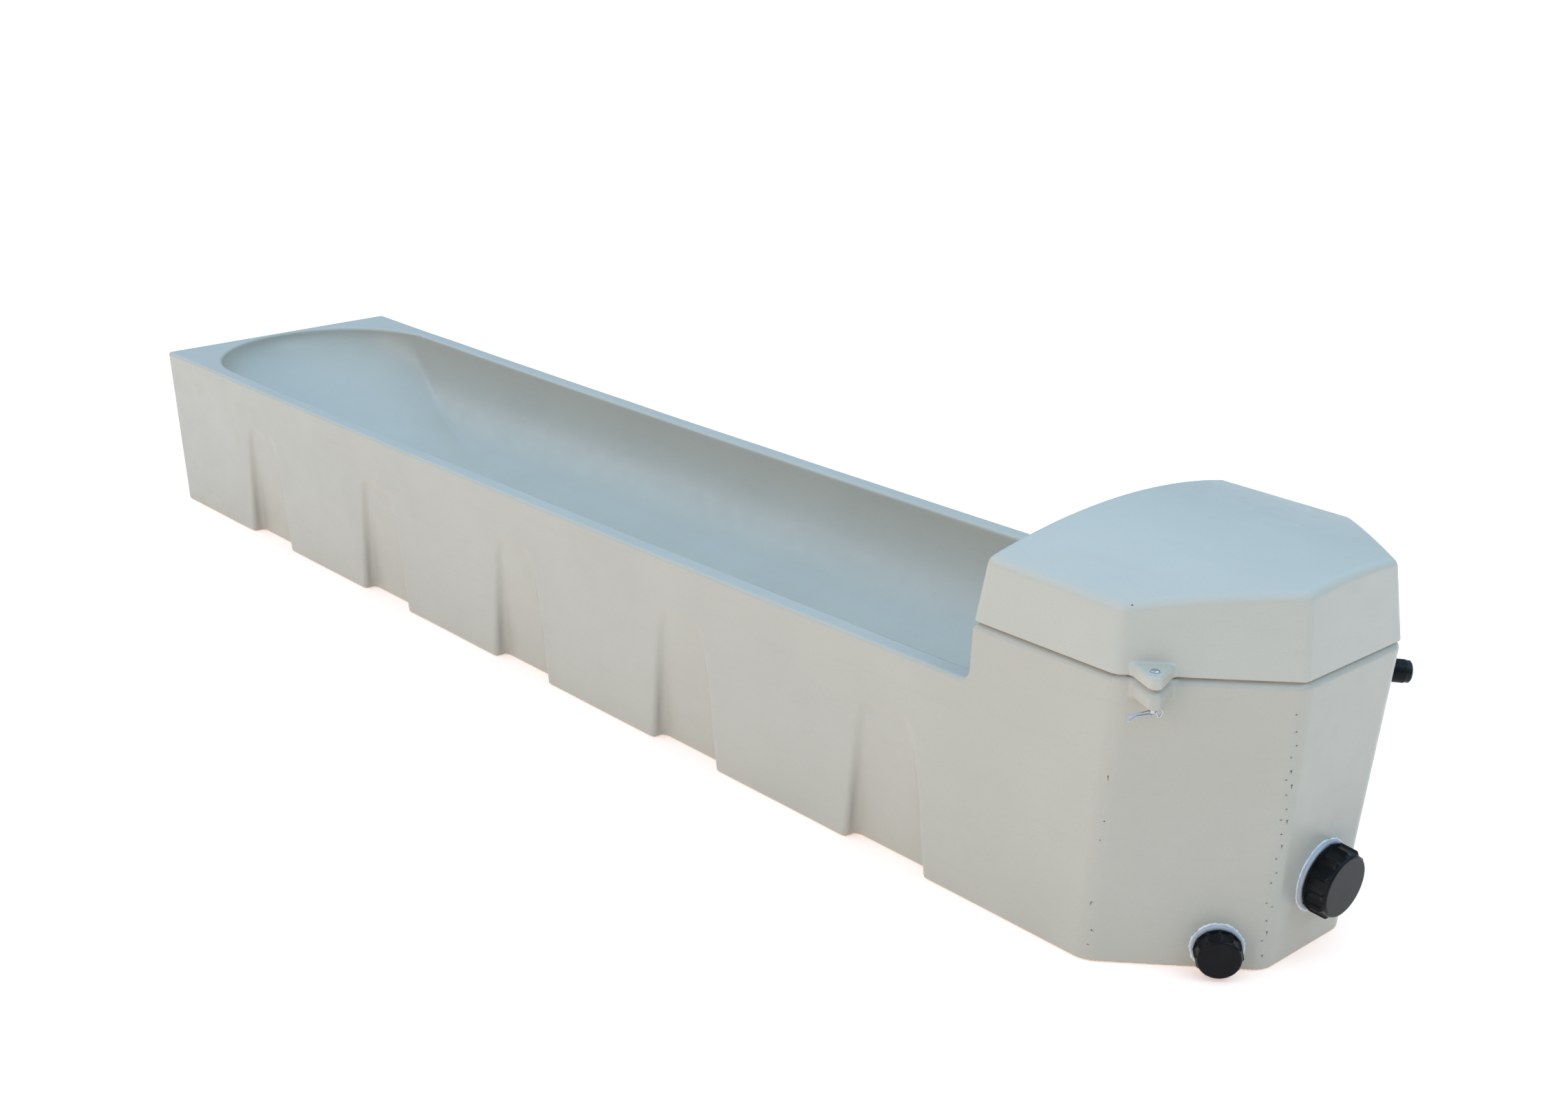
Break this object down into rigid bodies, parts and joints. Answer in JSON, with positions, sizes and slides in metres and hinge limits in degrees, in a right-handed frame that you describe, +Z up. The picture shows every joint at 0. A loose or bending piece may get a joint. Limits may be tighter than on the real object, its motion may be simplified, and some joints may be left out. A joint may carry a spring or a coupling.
{
  "type": "livestock drinking trough",
  "caption": "Long moulded drinking trough with a lidded float-valve box at one end, threaded capped outlets low down and side hollows along the walls.",
  "frame": {"origin": "on the ground, under the middle of the moulded body's length and width", "axes": "+Z up, +X along the trough towards the service box, +Y to the back, the side of the water inlet"},
  "size_m": [3.0711, 0.6004, 0.5969],
  "materials": {
    "body_plastic": "satin moulded polyethylene, sandstone",
    "lid_plastic": "satin moulded polyethylene, sandstone",
    "steel_pin": "bright zinc plated",
    "clip_wire": "bright zinc plated spring wire",
    "outlet_white": "natural polyethylene, slightly translucent white",
    "gasket_foam": "pale closed-cell gasket",
    "cap_black": "black moulded plastic",
    "black_rubber": "black rubber",
    "valve_black": "black glass-filled nylon",
    "valve_brass": "machined brass",
    "rod_steel": "stainless steel",
    "float_plastic": "orange blow-moulded plastic"
  },
  "bodies": {
    "trough": {"trough_body": "body_plastic", "main_outlet_gasket": "gasket_foam", "main_outlet_spigot": "outlet_white", "main_outlet_backnut": "cap_black", "drain_gasket": "gasket_foam", "drain_spigot": "outlet_white", "drain_backnut": "cap_black", "float_valve_body": "valve_black", "inlet_inner_washer": "black_rubber", "inlet_outer_washer": "black_rubber", "inlet_lock_nut": "valve_black", "valve_seat": "outlet_white", "lever_pivot_pin": "rod_steel"},
    "lid": {"service_lid": "lid_plastic"},
    "front_pin": {"front_latch_pin": "steel_pin"},
    "back_pin": {"back_latch_pin": "steel_pin"},
    "front_clip": {"front_spring_clip": "clip_wire"},
    "back_clip": {"back_spring_clip": "clip_wire"},
    "main_seal": {"main_outlet_cap_seal": "black_rubber"},
    "main_cap": {"main_outlet_cap": "cap_black"},
    "drain_seal": {"drain_cap_seal": "black_rubber"},
    "drain_cap_turning": {"drain_cap": "cap_black"},
    "piston": {"valve_piston": "valve_brass", "piston_washer": "black_rubber"},
    "float_arm": {"float_lever": "valve_brass", "float_rod": "rod_steel", "float_ball": "float_plastic", "float_rod_nuts": "valve_brass"}
  },
  "joints": [
    {"name": "lid_lift", "type": "slide", "parent": "trough", "child": "lid", "axis": [0, 0, 1], "range_m": [0, 0.25]},
    {"name": "front_pin_pull", "type": "slide", "parent": "lid", "child": "front_pin", "axis": [0, 0, 1], "range_m": [0, 0.07]},
    {"name": "back_pin_pull", "type": "slide", "parent": "lid", "child": "back_pin", "axis": [0, 0, 1], "range_m": [0, 0.07]},
    {"name": "front_clip_pull", "type": "slide", "parent": "front_pin", "child": "front_clip", "axis": [0.5183, 0.8295, 0.2079], "range_m": [0, 0.04], "deforming": ["front_spring_clip"]},
    {"name": "back_clip_pull", "type": "slide", "parent": "back_pin", "child": "back_clip", "axis": [0.5183, -0.8295, 0.2079], "range_m": [0, 0.04], "deforming": ["back_spring_clip"]},
    {"name": "main_cap_travel", "type": "slide", "parent": "trough", "child": "main_seal", "axis": [0.9968, 0, -0.0803], "range_m": [0, 0.01387]},
    {"name": "main_cap_turn", "type": "hinge", "parent": "main_seal", "child": "main_cap", "pos_m": [1.49837, 0.008, 0.125], "axis": [0.9968, 0, -0.0803], "range_deg": [0, 2160]},
    {"name": "drain_cap_travel", "type": "slide", "parent": "trough", "child": "drain_seal", "axis": [0.6769, -0.7309, -0.0866], "range_m": [0, 0.01387]},
    {"name": "drain_cap_turn", "type": "hinge", "parent": "drain_seal", "child": "drain_cap_turning", "pos_m": [1.43998, -0.14293, 0.0395], "axis": [0.6769, -0.7309, -0.0866], "range_deg": [0, 2160]},
    {"name": "float_arm_swing", "type": "hinge", "parent": "trough", "child": "float_arm", "pos_m": [1.42932, 0.11593, 0.37493], "axis": [-0.7338, 0.6794, 0], "range_deg": [0, 30]},
    {"name": "piston_slide", "type": "slide", "parent": "trough", "child": "piston", "axis": [0.6768, 0.731, -0.0865], "range_m": [0, 0.01141]}
  ],
  "couplings": [
    {"joint": "main_cap_travel", "follows": "main_cap_turn", "m_per_rad": 0.00036749},
    {"joint": "drain_cap_travel", "follows": "drain_cap_turn", "m_per_rad": 0.00036749},
    {"joint": "piston_slide", "follows": "float_arm_swing", "m_per_rad": 0.02175}
  ]
}
